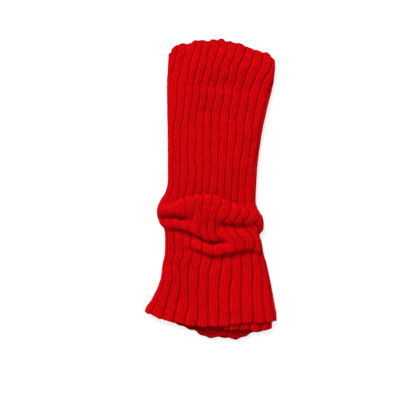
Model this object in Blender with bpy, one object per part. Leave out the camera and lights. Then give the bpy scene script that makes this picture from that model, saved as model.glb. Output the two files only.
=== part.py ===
"""A pair of ribbed knit leg warmers, one inside the other, laid flat and slouched at the ankle.

Each warmer is one tube of chunky rib knit, open at both ends. The inner one lies inside the
outer one, so there are four layers of cloth, and the outer one's back rests on the surface.
The outer one's spare length is pushed down into a slouch: a raised lip, a broad dome that a
dent splits into two lobes, a middle roll and a last small roll.

Sizes are in millimetres here and become metres in the meshes. X runs across the leg, Y up
the leg and Z away from the surface that the pair lies on.
"""
from collections import namedtuple

import bpy
import numpy as np

# Driving sizes of the knit
RIBS = 26                  # ribs all round each tube
CROWN = 2.6                # cloth thickness at the top of a rib
GROOVE = 1.4               # cloth thickness in the groove between two ribs
SHOULDER = 0.18            # where a groove's side ends, as a share of one rib
STEEP = 0.82               # how much of a rib's height that steep side climbs
BACK_CLOTH = 2.2           # the outer warmer's back, its ribs pressed flat on the surface
INNER_THINNER = 0.2        # the inner warmer's cloth is pressed this much thinner
LAYER_GAP = 0.4            # between two layers of cloth that lie on each other
SIDE_GAP = 2.2             # between the two warmers at the tube's left and right edges
INNER_HOLLOW = 2.0         # between the inner warmer's own front and back
FRONT_SWELL = 1.5          # how much the front rises from the edges to the middle
TOP_CORNER = 9.0           # how far the top hems round off at their two corners
LOW_CORNER = 0.6           # and the low hems
CORNER_POWER = 16          # how close to the edges that rounding stays
FOLD_POWER = 4             # how close to the edges the folds of the slouch keep their height
PRESSED = (0.3, 0.8)       # how far down the cloth faces where its ribs start to be pressed flat,
                           # and where they are quite flat
ROUGHNESS = 0.9            # of the yarn
METRE = 0.001

# Seven stations across the flat tube: -1 is its left edge, 0 the middle and 1 the right edge
ACROSS = (-1.0, -0.8, -0.45, 0.0, 0.45, 0.8, 1.0)

# The pair's outline: how far out its two edges lie at each height up the leg
LEFT, RIGHT = 1, 2
OUTLINE = (
    # up the leg, left edge, right edge
    (168, -47.5, 72.5),
    (150, -48.6, 73.9),
    (128, -50.1, 73.0),
    (118, -50.2, 70.7),
    (94, -49.8, 64.7),
    (67, -49.4, 58.9),
    (25, -49.2, 53.2),
    (10, -49.3, 52.4),
    (-2, -51.9, 51.7),
    (-14, -58.8, 51.4),
    (-24, -61.7, 55.0),
    (-32, -61.0, 59.8),
    (-38, -58.6, 61.3),
    (-45, -53.3, 60.4),
    (-52, -52.4, 56.0),
    (-60, -52.4, 58.3),
    (-72, -52.6, 60.2),
    (-85, -55.0, 64.0),
    (-101, -57.4, 67.5),
    (-113, -61.5, 69.8),
    (-125, -67.6, 71.9),
    (-136, -74.9, 73.9),
    (-143, -76.6, 75.2),
    (-172, -77.0, 76.0),
)

# How far the ribs have turned round the leg, in ribs, at each height up the leg. The knit twists
# unevenly, so each row has its turn at five of the front's ribs, from the left to the right.
TURNED_RIBS = (3, 5, 7, 9, 11.5)
TURN = (
    # up the leg, turned at each of the five ribs
    (161, -0.70, -0.54, -0.40, -0.32, -0.20),
    (150, -0.50, -0.27, -0.17, -0.18, -0.25),
    (138, -0.25, 0.05, 0.06, 0.10, -0.10),
    (126, 0.00, 0.16, 0.45, 0.49, 0.30),
    (115, 0.16, 0.32, 0.47, 0.45, 0.60),
    (103, 0.33, 0.58, 0.75, 0.74, 0.68),
    (92, 0.37, 0.56, 0.66, 0.62, 0.70),
    (69, 0.65, 0.84, 0.90, 0.77, 0.72),
    (57, 0.84, 0.90, 0.85, 0.68, 0.52),
    (46, 0.78, 0.75, 0.75, 0.58, 0.55),
    (23, 0.82, 0.78, 0.69, 0.67, 0.80),
    (8, 0.76, 0.58, 0.61, 0.65, 0.90),
    (-14, 0.76, 0.58, 0.60, 0.50, 0.80),
    (-26, 0.50, 0.30, -0.07, -0.40, -0.50),
    (-33, 0.75, 0.86, 0.45, 0.05, 0.00),
    (-40, 1.15, 1.22, 0.60, -0.34, -0.40),
    (-46, 1.45, 1.50, 0.40, -0.57, -0.90),
    (-57, 1.40, 1.40, 0.50, -0.50, -0.80),
    (-82, 1.36, 1.32, 1.00, 0.60, 0.23),
    (-90, 1.56, 1.60, 1.27, 0.65, 0.15),
    (-109, 1.22, 1.50, 1.38, 1.00, 0.38),
    (-126, 1.22, 1.13, 1.08, 0.97, 0.50),
    (-141, 1.00, 0.90, 0.77, 0.73, 0.43),
)
# The inner warmer's ribs know nothing of the slouch
STRAIGHT_TURN = tuple(row for row in TURN if not -60 < row[0] < 0)

# The lines that the slouch follows, as heights up the leg at the seven stations
Lines = namedtuple("Lines", "lip dent tuck end")
SLOUCH = Lines(
    lip=(-21.0, -18.0, -7.0, -4.0, -12.5, -20.0, -24.0),
    dent=(-33.5, -31.0, -34.0, -37.0, -39.5, -43.0, -45.0),
    tuck=(-45.0, -44.5, -50.5, -59.2, -56.5, -56.0, -59.5),
    end=(-59.0, -58.0, -66.0, -75.6, -71.2, -68.4, -74.0),
)
# How far the dent pulls the ribs sideways at the seven stations
DENT_PULL = (0.0, 2.5, 5.0, -3.0, -12.0, -10.0, 0.0)

# The cloth's path over the slouch, seen from the side, from above it to below it. Each point
# lies so far past its line and so high, in the left lobe, the middle and the right lobe.
Bend = namedtuple("Bend", "line past height pull")
# The stations where each part starts and ends. The last roll comes up slowly from the left.
PARTS = dict.fromkeys(("lip", "dent", "tuck"), (-1.0, -0.66, -0.34, 0.15, 0.50, 1.0))
PARTS["end"] = (-1.0, -0.86, -0.14, 0.15, 0.50, 1.0)
OUTER_PATH = (
    Bend("lip", (-24, -24, -24), (0, 0, 0), 0.0),
    Bend("lip", (-10, -10, -10), (0, 0, 0), 0.0),
    Bend("lip", (-1.5, -1.5, -1.5), (0, 0, 0), 0.0),
    Bend("lip", (4.5, 4.5, 4.5), (0, 0, 0), 0.0),
    Bend("lip", (6.3, 6.3, 6.3), (4.0, 4.0, 4.0), 0.0),
    Bend("lip", (2.0, 2.0, 2.0), (8.3, 8.6, 8.3), 0.1),
    Bend("lip", (3.0, 4.0, 3.0), (12.8, 14.0, 12.8), 0.25),
    Bend("dent", (-9.0, -20.0, -9.0), (14.4, 15.4, 14.4), 0.5),
    Bend("dent", (-2.6, -10.0, -2.6), (12.3, 14.4, 12.3), 0.85),
    Bend("dent", (-3.4, -2.0, -3.4), (7.0, 13.4, 8.5), 1.0),
    Bend("dent", (-3.0, 2.5, -3.0), (2.0, 12.5, 5.5), 1.0),
    Bend("dent", (3.0, 6.5, 3.0), (2.0, 11.8, 5.5), 1.0),
    Bend("dent", (3.6, 10.5, 3.6), (7.0, 11.3, 8.5), 0.95),
    Bend("tuck", (-6.2, -4.8, -6.5), (10.5, 11.1, 10.5), 0.8),
    Bend("tuck", (-1.2, -1.0, -2.5), (9.0, 9.3, 10.6), 0.6),
    Bend("tuck", (-4.0, -3.2, 0.5), (4.2, 5.2, 10.2), 0.45),
    Bend("tuck", (-1.5, -1.6, 3.0), (0.0, 1.0, 10.0), 0.35),
    Bend("end", (-9.5, -12.0, -9.3), (0.0, 1.0, 9.6), 0.25),
    Bend("end", (-5.5, -11.0, -7.4), (0.0, 7.6, 9.4), 0.15),
    Bend("end", (-1.0, -5.2, -4.6), (0.0, 9.4, 9.0), 0.1),
    Bend("end", (3.0, -1.2, -1.1), (0.0, 7.4, 7.2), 0.0),
    Bend("end", (7.0, -3.8, -3.4), (0.0, 3.6, 3.6), 0.0),
    Bend("end", (11.0, -1.0, -0.6), (0.0, 0.0, 0.0), 0.0),
    Bend("end", (15.0, 5.0, 5.0), (0, 0, 0), 0.0),
    Bend("end", (22.0, 16.0, 16.0), (0, 0, 0), 0.0),
)
# The inner warmer runs straight through beneath
INNER_PATH = (
    Bend("lip", (-6, -6, -6), (0, 0, 0), 0.0),
    Bend("lip", (9, 9, 9), (0, 0, 0), 0.0),
    Bend("dent", (0, 0, 0), (0, 0, 0), 0.0),
    Bend("tuck", (0, 0, 0), (0, 0, 0), 0.0),
    Bend("end", (4, 4, 4), (0, 0, 0), 0.0),
)

Hems = namedtuple("Hems", "top_front top_back low_front low_back")
Warmer = namedtuple("Warmer", (
    "name",
    "inset",          # from the pair's outline in to the inside of the cloth
    "floor",          # height of the inside of its back
    "hollow",         # height inside the tube
    "crown",          # its cloth's thickness on a rib
    "groove",         # and between two ribs
    "back",           # and on the flat back
    "turn",           # how its ribs turn round the leg
    "path",
    "crease_at",      # which points of its path lie at the start, the four lines and the stop
    "rows",           # rows of points above, over and below the slouch
    "plain_columns",  # columns of the plain inside: front, back and round each edge
    "hems",
    "colour",
))
OUTER = Warmer(
    name="leg_warmer_outer",
    inset=CROWN,
    floor=BACK_CLOTH,
    hollow=2 * LAYER_GAP + BACK_CLOTH + INNER_HOLLOW + CROWN - 2 * INNER_THINNER,
    crown=CROWN, groove=GROOVE, back=BACK_CLOTH,
    turn=TURN, path=OUTER_PATH, crease_at=(0, 5, 10.5, 15, 20.5, 24),
    rows=(7, 34, 5), plain_columns=(30, 8, 4),
    hems=Hems(
        top_front=(165.0, 167.8, 168.2, 167.6, 163.8, 158.4, 157.0),
        top_back=(165.0, 164.5, 164.5, 164.0, 160.0, 156.0, 157.0),
        low_front=(-140.5, -146.5, -153.0, -156.2, -153.2, -151.5, -150.8),
        low_back=(-140.5, -147.6, -154.8, -163.3, -162.2, -156.0, -150.8),
    ),
    colour=(0.60, 0.002, 0.006, 1.0),
)
INNER = Warmer(
    name="leg_warmer_inner",
    inset=2 * CROWN - INNER_THINNER + SIDE_GAP,
    floor=OUTER.floor + LAYER_GAP + BACK_CLOTH - INNER_THINNER,
    hollow=INNER_HOLLOW,
    crown=CROWN - INNER_THINNER, groove=GROOVE - INNER_THINNER, back=BACK_CLOTH - INNER_THINNER,
    turn=STRAIGHT_TURN, path=INNER_PATH, crease_at=(0, 0.8, 2, 3, 3.9, 4),
    rows=(7, 6, 6), plain_columns=(26, 8, 2),
    hems=Hems(
        top_front=(151.0, 165.5, 171.4, 172.2, 166.0, 154.8, 150.0),
        top_back=(151.0, 162.0, 167.5, 168.5, 163.0, 152.0, 150.0),
        low_front=(-137.0, -143.6, -149.5, -155.8, -160.4, -161.0, -160.0),
        low_back=(-137.0, -145.5, -157.5, -169.6, -170.8, -162.5, -160.0),
    ),
    colour=(0.50, 0.002, 0.006, 1.0),
)

PLAIN_RIBS = range(16, 24)     # ribs that stay on the flat back over the whole length
RIB_POINTS = (0.0, SHOULDER, 0.5, 1.0 - SHOULDER)
ABOVE_SLOUCH = (0.0, 0.3, 0.65)     # guide lines as shares of the way from the top hem
BELOW_SLOUCH = (0.35, 0.7, 1.0)     # and on down to the low hem
TINY = 1e-3                    # step along the cloth used to measure its slope
STEP = 1.0                     # step up the leg used to measure the outline's slope
SHARP = np.radians(60)         # the hems' edges stay crisp, and the ribs do not


def smooth(stations, values, at):
    """A curve through the values at the stations that never overshoots between two of them."""
    stations = np.asarray(stations, float)
    values = np.asarray(values, float)
    run = np.diff(stations)
    rise = np.diff(values) / run
    slope = np.concatenate(([rise[0]], np.zeros(len(rise) - 1), [rise[-1]]))
    before, after = rise[:-1], rise[1:]
    same_way = before * after > 0
    weight_a, weight_b = 2 * run[1:] + run[:-1], run[1:] + 2 * run[:-1]
    safe_before = np.where(same_way, before, 1.0)
    safe_after = np.where(same_way, after, 1.0)
    mean = (weight_a + weight_b) / (weight_a / safe_before + weight_b / safe_after)
    slope[1:-1] = np.where(same_way, mean, 0.0)
    k = np.clip(np.searchsorted(stations, at) - 1, 0, len(run) - 1)
    t = np.clip((at - stations[k]) / run[k], 0.0, 1.0)
    return (values[k] * (1 + 2 * t) * (1 - t) ** 2 + values[k + 1] * t * t * (3 - 2 * t)
            + slope[k] * run[k] * t * (1 - t) ** 2 - slope[k + 1] * run[k] * t * t * (1 - t))


def by_height(table, height, column=1):
    """One column of a table at any height up the leg, which is the table's first column."""
    rows = sorted(table)
    return smooth([row[0] for row in rows], [row[column] for row in rows], height)


def inside_edge(side, height, inset):
    """The outline's edge moved in by an inset square to it, however much it slants."""
    above = by_height(OUTLINE, height + STEP, side)
    below = by_height(OUTLINE, height - STEP, side)
    slant = (above - below) / (2 * STEP)
    return by_height(OUTLINE, height, side) + inset * np.hypot(1.0, slant)


def spline_weight(t):
    """The share that a point on the cloth takes from a guide line t lines away: a cubic B-spline."""
    t = np.abs(t)
    return np.where(t < 1, 2 / 3 - t * t + t ** 3 / 2, np.where(t < 2, (2 - t) ** 3 / 6, 0.0))


def between(values, places, at):
    """The value at one place on a straight run between two known places."""
    k = max(i for i in range(len(places) - 1) if places[i] <= at)
    share = (at - places[k]) / (places[k + 1] - places[k])
    return values[k] + (values[k + 1] - values[k]) * share


def guide_lines(warmer, across, front):
    """Height up the leg, rise of the cloth and sideways pull of each guide line, hem to hem."""
    top, low = (
        (warmer.hems.top_front, warmer.hems.low_front) if front
        else (warmer.hems.top_back, warmer.hems.low_back))
    corner = np.abs(across) ** CORNER_POWER
    top = smooth(ACROSS, top, across) - TOP_CORNER * corner
    low = smooth(ACROSS, low, across) + LOW_CORNER * corner
    # Towards the tube's edges the folds sink, and they stop leaning over one another first
    lean = np.clip(1.0 - across ** FOLD_POWER, 0.0, 1.0)
    rise = np.sqrt(lean)

    def from_parts(bend, values):
        left, middle, right = values
        return smooth(PARTS[bend.line], (left, left, middle, middle, right, right), across)

    def on_path(bend):
        return smooth(ACROSS, getattr(SLOUCH, bend.line), across) - from_parts(bend, bend.past)

    start, stop = on_path(warmer.path[0]), on_path(warmer.path[-1])
    creases = [start, *(smooth(ACROSS, line, across) for line in SLOUCH), stop]
    lines = []
    for share in ABOVE_SLOUCH:
        lines.append((top + (start - top) * share, 0.0 * across, 0.0 * across))
    for number, bend in enumerate(warmer.path):
        even = between(creases, warmer.crease_at, number)
        if front:
            up = lean * on_path(bend) + (1 - lean) * even
            pull = bend.pull * smooth(ACROSS, DENT_PULL, across)
            lines.append((up, rise * from_parts(bend, bend.height), pull))
        else:
            lines.append((even, 0.0 * across, 0.0 * across))
    for share in BELOW_SLOUCH:
        lines.append((stop + (low - stop) * share, 0.0 * across, 0.0 * across))
    return lines


def over_lines(lines, along):
    """Blend the guide lines at a place along the cloth, with both ends kept on their hems."""
    first = [2 * a - b for a, b in zip(lines[0], lines[1])]
    last = [2 * a - b for a, b in zip(lines[-1], lines[-2])]
    total = [0.0, 0.0, 0.0]
    for number, line in enumerate([first, *lines, last]):
        weight = spline_weight(along - (number - 1))
        total = [value + weight * part for value, part in zip(total, line)]
    return total


def tube_section(around, width, height, cloth):
    """A flattened ring with round ends, at shares of the way round it from its left edge.

    Gives the place across as a share of the half width, the height above the lowest point, and
    whether it is on the front. The way round is measured on the outside of the cloth.
    """
    radius = height / 2
    reach = radius + cloth
    quarter = np.pi * reach / 2
    flat = width - height
    girth = 2 * flat + 4 * quarter
    travelled = (around % 1.0) * girth
    front = travelled < girth / 2
    travelled = np.where(front, travelled, girth - travelled)
    left = np.clip(travelled / reach, 0, np.pi / 2)
    right = np.clip((travelled - quarter - flat) / reach, 0, np.pi / 2)
    across = (radius * (1 - np.cos(left)) + np.clip(travelled - quarter, 0, flat)
              + radius * np.sin(right))
    lift = radius * (np.sin(left) - (1 - np.cos(right)))
    share = 2 * across / width - 1
    return share, radius + np.where(front, lift, -lift), front


def edge_heights(warmer, along):
    """How far up the leg the tube's left and right edges are at places along the cloth."""
    lines = guide_lines(warmer, np.array([-1.0, 1.0]), True)
    return [over_lines([[part[side] for part in line] for line in lines], along)[0]
            for side in (0, 1)]


def turn_of_ribs(turn, ribs_round, up):
    """How far the knit has turned round the leg there: straight from each of five ribs to the next."""
    total = 0.0
    for number, one in enumerate(np.eye(len(TURNED_RIBS))):
        share = np.interp(ribs_round, TURNED_RIBS, one, period=RIBS)
        total = total + share * by_height(turn, up, 1 + number)
    return total


def rib_places(warmer, along, ribs_round):
    """Where each rib runs, as a share of the way round from the left edge over the front."""
    up = sum(edge_heights(warmer, along)) / 2
    return (ribs_round - turn_of_ribs(warmer.turn, ribs_round, up)) / RIBS


def inside_of_cloth(warmer, along, around):
    """Points on the inside of the tube, at places along it and shares of the way round it."""
    left_up, right_up = edge_heights(warmer, along)
    left = inside_edge(LEFT, left_up, warmer.inset)
    right = inside_edge(RIGHT, right_up, -warmer.inset)
    share, lift, front = tube_section(around, right - left, warmer.hollow, warmer.crown)
    front_up, rise, pull = over_lines(guide_lines(warmer, share, True), along)
    back_up = over_lines(guide_lines(warmer, share, False), along)[0]
    across = (left + right) / 2 + share * (right - left) / 2
    swell = FRONT_SWELL * (1 - share ** 2) ** 2
    x = across + np.where(front, pull, 0.0)
    y = np.where(front, front_up, back_up)
    z = warmer.floor + lift + np.where(front, rise + swell, 0.0)
    return np.stack([x, y, z], axis=-1)


def outward(warmer, along, around):
    """The direction straight out of the cloth, from its slopes along and round the tube."""
    ahead = inside_of_cloth(warmer, along + TINY, around)
    behind = inside_of_cloth(warmer, along - TINY, around)
    right = inside_of_cloth(warmer, along, around + TINY / RIBS)
    left = inside_of_cloth(warmer, along, around - TINY / RIBS)
    normal = np.cross(right - left, behind - ahead)
    return normal / np.linalg.norm(normal, axis=-1, keepdims=True)


def rib_height(ribs_round):
    """From 0 in a groove to 1 on a rib's crown, with steep narrow sides."""
    place = np.abs((ribs_round + 0.5) % 1.0 - 0.5)
    return np.where(place < SHOULDER, STEEP * place / SHOULDER,
                    STEEP + (1 - STEEP) * (place - SHOULDER) / (0.5 - SHOULDER))


def outside_of_cloth(warmer, along, ribs_round):
    """The ribbed outside: the inside moved out by the cloth's thickness, even on the back."""
    around = rib_places(warmer, along, ribs_round)
    normal = outward(warmer, along, around)
    ribbed = warmer.groove + (warmer.crown - warmer.groove) * rib_height(ribs_round)
    starts, done = PRESSED
    pressed = np.clip((-normal[..., 2] - starts) / (done - starts), 0.0, 1.0)
    thickness = ribbed + (warmer.back - ribbed) * pressed
    return inside_of_cloth(warmer, along, around) + normal * thickness[..., None]


def places_along(warmer):
    """Rows from the top hem to the low one: few on the flat cloth and many over the slouch."""
    above, over, below = warmer.rows
    start = len(ABOVE_SLOUCH)
    stop = start + len(warmer.path) - 1
    return np.concatenate([
        np.linspace(0, start, above, endpoint=False),
        np.linspace(start, stop, over, endpoint=False),
        np.linspace(stop, stop + len(BELOW_SLOUCH), below),
    ])


def rib_columns():
    """Columns that follow the ribs, with only one for each rib that stays on the back."""
    return np.array([rib + point for rib in range(RIBS)
                     for point in (RIB_POINTS[:1] if rib in PLAIN_RIBS else RIB_POINTS)])


def plain_columns(warmer):
    """Columns of the plain inside, as shares of the way round, close together at the edges."""
    front, back, edge = warmer.plain_columns
    reach = warmer.hollow / 2 + warmer.crown
    turn = 0.25 * np.pi * reach / (OUTLINE[0][RIGHT] - OUTLINE[0][LEFT])
    bend = np.linspace(-turn, turn, edge, endpoint=False)
    return np.concatenate([
        bend, np.linspace(turn, 0.5 - turn, front, endpoint=False),
        0.5 + bend, np.linspace(0.5 + turn, 1.0 - turn, back, endpoint=False),
    ])


def tube_faces(rows, columns, start, outside):
    """Four-sided faces of a tube of rows of points, turned outwards or inwards."""
    faces = []
    for row in range(rows - 1):
        for column in range(columns):
            a = start + row * columns + column
            b = start + row * columns + (column + 1) % columns
            faces.append((a, a + columns, b + columns, b) if outside
                         else (a, b, b + columns, a + columns))
    return faces


def hem_faces(outer_round, inner_round, outer_start, inner_start, top):
    """Three-sided faces between the outside's and the inside's last rows, at one hem."""
    outer = outer_round - outer_round[0]
    inner = (inner_round - outer_round[0]) % 1.0
    order = np.argsort(inner)
    outer, inner = [*outer, 1.0], [*inner[order], 1.0 + inner[order[0]]]
    outer_ring = [outer_start + k % len(outer_round) for k in range(len(outer))]
    inner_ring = [inner_start + int(order[k % len(order)]) for k in range(len(inner))]
    faces = []
    i = j = 0
    while i < len(outer) - 1 or j < len(inner) - 1:
        if j == len(inner) - 1 or (i < len(outer) - 1
                                   and outer[i + 1] - inner[j] <= inner[j + 1] - outer[i]):
            face = (outer_ring[i], outer_ring[i + 1], inner_ring[j])
            i += 1
        else:
            face = (outer_ring[i], inner_ring[j + 1], inner_ring[j])
            j += 1
        faces.append(face if top else face[::-1])
    return faces


def leg_warmer(warmer):
    """One closed tube of cloth: ribbed outside, plain inside, and a hem at each end."""
    along = places_along(warmer)[:, None]
    ribs_round = rib_columns()[None, :]
    plain_round = plain_columns(warmer)[None, :]
    outside = outside_of_cloth(warmer, along, ribs_round)
    inside = inside_of_cloth(warmer, along, plain_round + 0.0 * along)
    rows, outer_count = outside.shape[:2]
    inner_count = inside.shape[1]
    inner_start = rows * outer_count
    faces = tube_faces(rows, outer_count, 0, True)
    faces += tube_faces(rows, inner_count, inner_start, False)
    hem_places = rib_places(warmer, along[[0, -1]], ribs_round)
    for row, top in ((0, True), (rows - 1, False)):
        faces += hem_faces(hem_places[0 if top else 1], plain_round[0],
                           row * outer_count, inner_start + row * inner_count, top)
    points = np.concatenate([outside.reshape(-1, 3), inside.reshape(-1, 3)])
    return points, faces


def knit_material(warmer):
    """Matt red yarn."""
    material = bpy.data.materials.new(warmer.name + "_knit")
    material.use_nodes = True
    shader = material.node_tree.nodes["Principled BSDF"]
    shader.inputs["Base Color"].default_value = warmer.colour
    shader.inputs["Roughness"].default_value = ROUGHNESS
    shader.inputs["Metallic"].default_value = 0.0
    return material


def add_object(warmer, points, faces):
    """Put one tube into the scene, smooth over the ribs and sharp at the hems."""
    mesh = bpy.data.meshes.new(warmer.name)
    mesh.from_pydata((points * METRE).tolist(), [], faces)
    mesh.materials.append(knit_material(warmer))
    mesh.shade_smooth()
    mesh.set_sharp_from_angle(angle=SHARP)
    piece = bpy.data.objects.new(warmer.name, mesh)
    bpy.context.scene.collection.objects.link(piece)


def main():
    for old in list(bpy.data.objects):
        bpy.data.objects.remove(old, do_unlink=True)
    tubes = [leg_warmer(warmer) for warmer in (OUTER, INNER)]
    everything = np.concatenate([points for points, _ in tubes])
    low, high = everything.min(axis=0), everything.max(axis=0)
    # The origin goes under the middle of the pair, on the surface that it lies on
    origin = np.array([(low[0] + high[0]) / 2, (low[1] + high[1]) / 2, low[2]])
    for warmer, (points, faces) in zip((OUTER, INNER), tubes):
        add_object(warmer, points - origin, faces)


main()
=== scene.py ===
# %% [markdown]
# # A pair of chunky ribbed leg warmers, laid flat
#
# The real thing is two tubes of thick rib knit. They are photographed from straight above, one
# inside the other, with the outer tube's spare length pushed down into a slouch at the ankle.
# This lesson makes both tubes as grids of points worked out with numpy: first the path of the
# cloth, then its ribs, then its single stitches, and last the yarn's finish.
#
# The packed model is loaded first. It says where everything goes, and each piece made here takes
# the place of one of its plain solids.

# %% Load the packed model
from collections import namedtuple

import bpy
import numpy as np
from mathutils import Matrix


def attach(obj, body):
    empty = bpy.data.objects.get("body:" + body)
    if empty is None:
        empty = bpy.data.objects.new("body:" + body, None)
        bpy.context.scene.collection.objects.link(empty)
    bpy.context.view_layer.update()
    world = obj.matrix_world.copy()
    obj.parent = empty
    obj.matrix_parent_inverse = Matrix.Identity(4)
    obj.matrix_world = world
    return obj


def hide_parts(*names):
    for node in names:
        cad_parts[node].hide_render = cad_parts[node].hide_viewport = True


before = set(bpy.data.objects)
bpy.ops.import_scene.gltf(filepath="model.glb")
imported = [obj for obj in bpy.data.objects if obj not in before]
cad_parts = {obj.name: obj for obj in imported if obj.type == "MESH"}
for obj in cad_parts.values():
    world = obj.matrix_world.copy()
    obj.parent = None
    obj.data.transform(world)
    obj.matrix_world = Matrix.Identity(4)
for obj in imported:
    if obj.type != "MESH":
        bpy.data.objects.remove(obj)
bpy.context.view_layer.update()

# %% [markdown]
# ## Sizes of the knit
#
# A knitter would call this a 3 by 1 rib: three columns of knit stitches stand up as one rib, and
# a single column of purl stitches sinks between two ribs. All lengths here are millimetres and
# become metres only when a mesh is made, because cloth is easier to think about in millimetres.

# %% Sizes of the knit
METRE = 0.001
RIBS = 26                  # ribs all round each tube
WALES = 3                  # columns of knit stitches on one rib
PURL = 0.09                # half the purl column's width, as a share of one rib
STITCH = 2.4               # height of one row of stitches
CROWN = 2.6                # cloth thickness at the top of a rib
BACK_CLOTH = 2.2           # the outer warmer's back, pressed on the surface
INNER_THINNER = 0.2        # the inner warmer's cloth is pressed this much thinner
LAYER_GAP = 0.4            # between two layers of cloth that lie on each other
print("one knit column is", round((1 - 2 * PURL) / WALES, 3), "of a rib")

# %% [markdown]
# ## Where the cloth lies
#
# Laid cloth has no simple formula, so a few short tables hold what is read off it: how far
# out the two edges lie, how the ribs turn round the leg, and which lines the folds follow. Every
# table has one row for each section or fold, and smooth curves fill in what is between.

# %% The outline, the turn of the ribs and the lines of the slouch
ACROSS = (-1.0, -0.8, -0.45, 0.0, 0.45, 0.8, 1.0)    # stations from the left edge to the right
LEFT, RIGHT = 1, 2
OUTLINE = (
    # up the leg, left edge, right edge
    (168, -47.5, 72.5),
    (150, -48.6, 73.9),
    (128, -50.1, 73.0),
    (118, -50.2, 70.7),
    (94, -49.8, 64.7),
    (67, -49.4, 58.9),
    (25, -49.2, 53.2),
    (10, -49.3, 52.4),
    (-2, -51.9, 51.7),
    (-14, -58.8, 51.4),
    (-24, -61.7, 55.0),
    (-32, -61.0, 59.8),
    (-38, -58.6, 61.3),
    (-45, -53.3, 60.4),
    (-52, -52.4, 56.0),
    (-60, -52.4, 58.3),
    (-72, -52.6, 60.2),
    (-85, -55.0, 64.0),
    (-101, -57.4, 67.5),
    (-113, -61.5, 69.8),
    (-125, -67.6, 71.9),
    (-136, -74.9, 73.9),
    (-143, -76.6, 75.2),
    (-172, -77.0, 76.0),
)
TURNED_RIBS = (3, 5, 7, 9, 11.5)
TURN = (
    # up the leg, turned at each of the five ribs
    (161, -0.70, -0.54, -0.40, -0.32, -0.20),
    (150, -0.50, -0.27, -0.17, -0.18, -0.25),
    (138, -0.25, 0.05, 0.06, 0.10, -0.10),
    (126, 0.00, 0.16, 0.45, 0.49, 0.30),
    (115, 0.16, 0.32, 0.47, 0.45, 0.60),
    (103, 0.33, 0.58, 0.75, 0.74, 0.68),
    (92, 0.37, 0.56, 0.66, 0.62, 0.70),
    (69, 0.65, 0.84, 0.90, 0.77, 0.72),
    (57, 0.84, 0.90, 0.85, 0.68, 0.52),
    (46, 0.78, 0.75, 0.75, 0.58, 0.55),
    (23, 0.82, 0.78, 0.69, 0.67, 0.80),
    (8, 0.76, 0.58, 0.61, 0.65, 0.90),
    (-14, 0.76, 0.58, 0.60, 0.50, 0.80),
    (-26, 0.50, 0.30, -0.07, -0.40, -0.50),
    (-33, 0.75, 0.86, 0.45, 0.05, 0.00),
    (-40, 1.15, 1.22, 0.60, -0.34, -0.40),
    (-46, 1.45, 1.50, 0.40, -0.57, -0.90),
    (-57, 1.40, 1.40, 0.50, -0.50, -0.80),
    (-82, 1.36, 1.32, 1.00, 0.60, 0.23),
    (-90, 1.56, 1.60, 1.27, 0.65, 0.15),
    (-109, 1.22, 1.50, 1.38, 1.00, 0.38),
    (-126, 1.22, 1.13, 1.08, 0.97, 0.50),
    (-141, 1.00, 0.90, 0.77, 0.73, 0.43),
)
STRAIGHT_TURN = tuple(row for row in TURN if not -60 < row[0] < 0)
Lines = namedtuple("Lines", "lip dent tuck end")
SLOUCH = Lines(
    lip=(-21.0, -18.0, -7.0, -4.0, -12.5, -20.0, -24.0),
    dent=(-33.5, -31.0, -34.0, -37.0, -39.5, -43.0, -45.0),
    tuck=(-45.0, -44.5, -50.5, -59.2, -56.5, -56.0, -59.5),
    end=(-59.0, -58.0, -66.0, -75.6, -71.2, -68.4, -74.0),
)
DENT_PULL = (0.0, 2.5, 5.0, -3.0, -12.0, -10.0, 0.0)
print("the slouch takes up", SLOUCH.lip[3] - SLOUCH.end[3], "mm of the front as it lies")

# %% [markdown]
# The slouch itself is a path seen from the side. From the top it goes under a lip, over a broad
# dome that a dent splits in two, under the next roll and over a last small one. Each bend is said
# by how far past its line it lies and how high, in the left lobe, the middle and the right lobe.
# A drawn curve or a cloth simulation could do this too, but a table can be checked by eye.

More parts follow.
